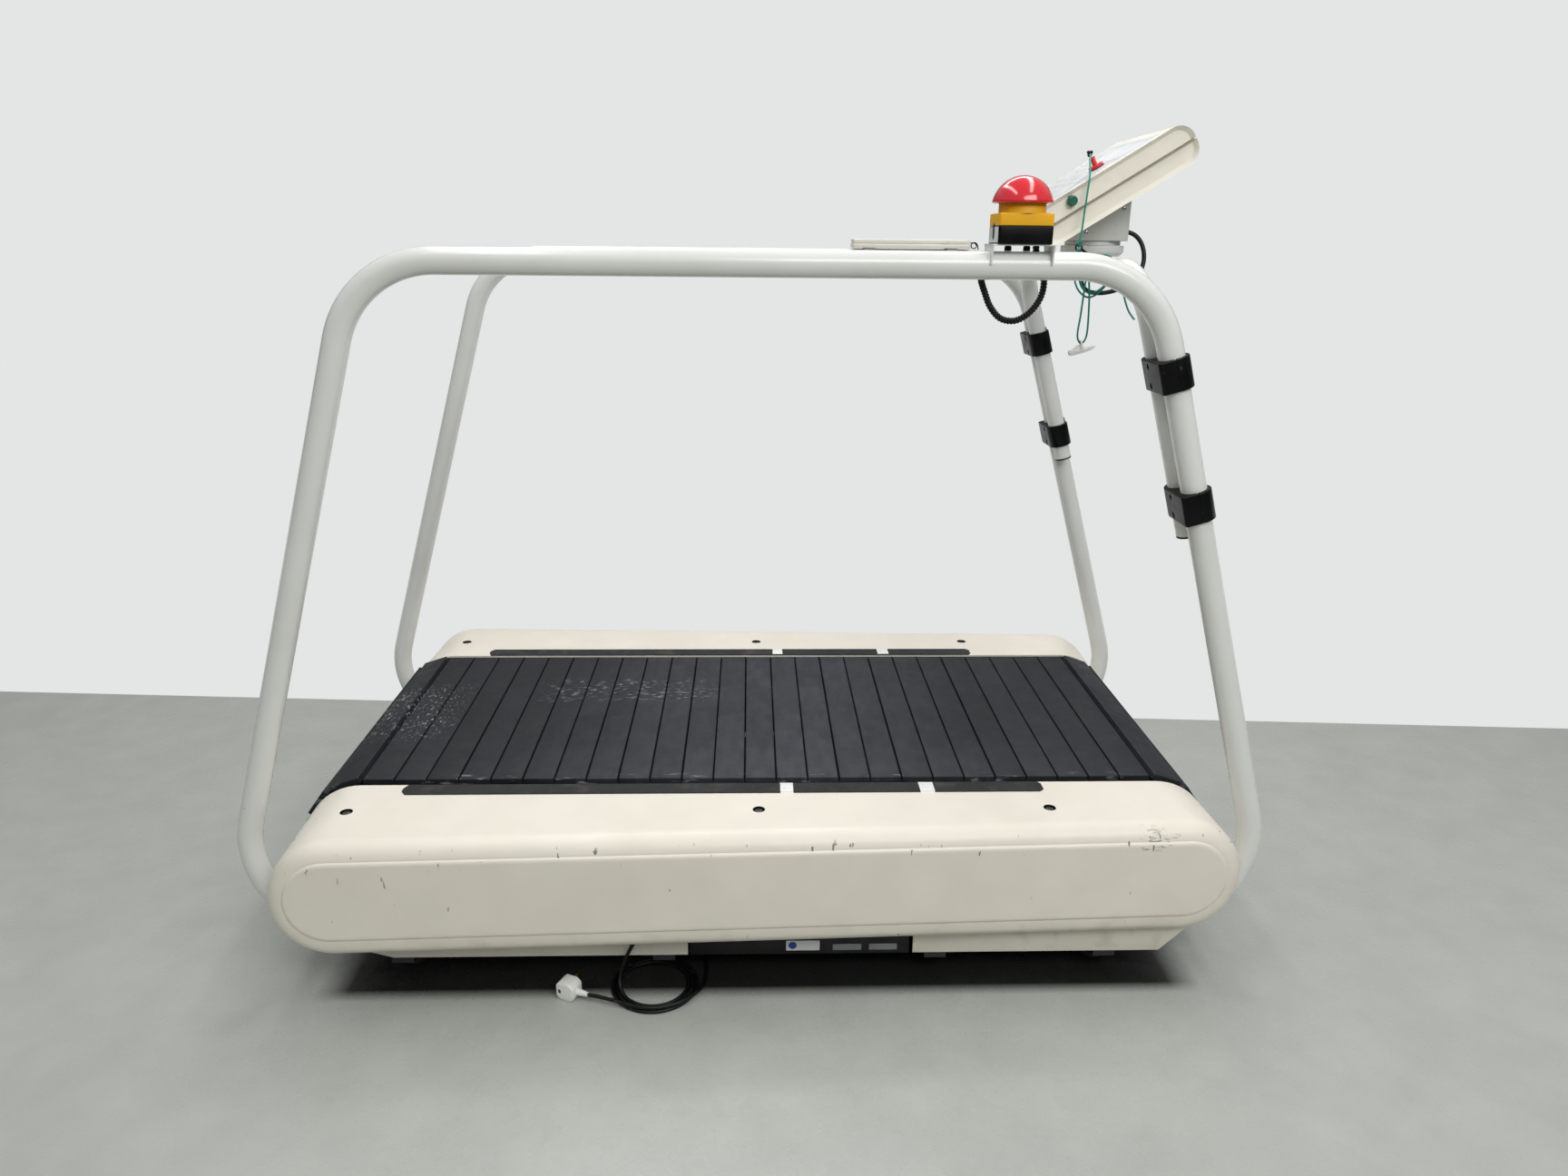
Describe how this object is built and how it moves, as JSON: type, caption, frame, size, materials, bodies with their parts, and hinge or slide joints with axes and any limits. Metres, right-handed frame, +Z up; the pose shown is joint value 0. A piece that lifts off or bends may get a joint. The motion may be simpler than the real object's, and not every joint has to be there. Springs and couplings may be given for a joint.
{
  "type": "motorised slat-belt treadmill with handrails",
  "caption": "Flat motorised treadmill with a slatted rubber belt, rounded side covers, bent-tube handrails, swivelling console on a clamped arch and a palm emergency stop.",
  "frame": {"origin": "on the floor under the middle of the machine (bottom centre of the bounding box without the free cords)", "axes": "+X towards the console end, +Y across to the far handrail, +Z up"},
  "size_m": [1.8414, 1.1424, 1.5016],
  "materials": {
    "frame_black": "satin",
    "foot_rubber": "matt",
    "roller_steel": "turned",
    "tread_rubber": "matt, scuffed",
    "beam_aluminium": "mill finish",
    "belt_rubber": "matt",
    "pulley_iron": "machined",
    "motor_paint": "satin",
    "black_sheet": "satin",
    "plate_grey": "satin",
    "cream_cover": "satin, lightly scuffed",
    "screw_steel": "bright",
    "strip_grit": "gritty",
    "tape_white": "matt",
    "tube_white": "semi-gloss",
    "black_plastic": "fine texture",
    "black_screw": "black oxide",
    "turntable_grey": "satin",
    "bracket_grey": "satin",
    "console_ivory": "satin",
    "overlay_white": "smooth film",
    "button_green": "gloss",
    "key_red": "gloss",
    "cord_teal": "braided",
    "clip_white": "gloss",
    "cable_black": "satin",
    "lid_yellow": "semi-gloss",
    "dome_red": "gloss",
    "box_cream": "satin",
    "pin_brass": "brass"
  },
  "bodies": {
    "frame": {"base_frame": "frame_black", "levelling_feet": "foot_rubber", "deck_frame": "frame_black", "guide_rollers": "roller_steel", "slat_treads": "tread_rubber", "slat_beams": "beam_aluminium", "carrier_belts": "belt_rubber", "bearing_housings": "frame_black", "drive_motor": "motor_paint", "drive_belt": "belt_rubber", "control_box": "black_sheet", "panel_plates": "plate_grey", "near_skirts": "cream_cover", "far_skirt": "cream_cover", "near_cover": "cream_cover", "far_cover": "cream_cover", "cover_screws": "screw_steel", "foot_strips": "strip_grit", "tape_marks": "tape_white", "near_handrail": "tube_white", "far_handrail": "tube_white", "rail_sockets": "frame_black", "console_arch": "tube_white", "arch_end_caps": "black_plastic", "arch_clamps": "black_plastic", "clamp_backs": "black_plastic", "clamp_screws": "black_screw", "turntable_base": "turntable_grey", "lanyard_tail": "cord_teal", "lanyard_clip": "clip_white", "lanyard_eye": "black_plastic", "stop_bracket": "tube_white", "stop_screws": "black_screw", "stop_base": "black_plastic", "stop_lid": "lid_yellow", "stop_conduit": "cable_black", "accessory_box": "box_cream", "accessory_lead": "cable_black", "mains_gland": "black_plastic", "mains_lead": "cable_black", "mains_plug": "clip_white", "plug_pins": "pin_brass"},
    "front_drum": {"front_shaft": "roller_steel", "front_pulleys": "pulley_iron", "shaft_pulley": "pulley_iron"},
    "rear_drum": {"rear_shaft": "roller_steel", "rear_pulleys": "pulley_iron"},
    "motor_rotor": {"motor_pulley": "pulley_iron"},
    "console_head": {"turntable_disc": "turntable_grey", "wedge_bracket": "bracket_grey", "bracket_screws": "screw_steel", "console_lower_shell": "console_ivory", "console_upper_shell": "console_ivory", "console_overlay": "overlay_white", "key_socket": "black_plastic", "console_cable": "cable_black"},
    "green_button": {"start_button": "button_green"},
    "pull_key": {"safety_key": "key_red", "lanyard": "cord_teal"},
    "stop_head": {"stop_dome": "dome_red"}
  },
  "joints": [
    {"name": "front_drum_spin", "type": "hinge", "parent": "frame", "child": "front_drum", "pos_m": [0.7575, 0, 0.21651], "axis": [0, 1, 0], "continuous": true},
    {"name": "rear_drum_spin", "type": "hinge", "parent": "frame", "child": "rear_drum", "pos_m": [-0.7425, 0, 0.21651], "axis": [0, 1, 0], "continuous": true},
    {"name": "motor_spin", "type": "hinge", "parent": "frame", "child": "motor_rotor", "pos_m": [0.42, 0, 0.21651], "axis": [0, 1, 0], "continuous": true},
    {"name": "console_swivel", "type": "hinge", "parent": "frame", "child": "console_head", "pos_m": [0.6475, 0, 1.301], "axis": [0, 0, 1], "range_deg": [-30, 30]},
    {"name": "start_button_press", "type": "slide", "parent": "console_head", "child": "green_button", "axis": [0, 1, 0], "range_m": [0, 0.004], "stiffness_N_per_m": 600},
    {"name": "safety_key_pull", "type": "slide", "parent": "console_head", "child": "pull_key", "axis": [-0.5255, 0, 0.8508], "range_m": [0, 0.02]},
    {"name": "stop_dome_press", "type": "slide", "parent": "frame", "child": "stop_head", "axis": [0, 0, -1], "range_m": [0, 0.006], "stiffness_N_per_m": 1500}
  ],
  "couplings": [
    {"joint": "rear_drum_spin", "follows": "front_drum_spin", "ratio": 1},
    {"joint": "motor_spin", "follows": "front_drum_spin", "ratio": 2}
  ]
}
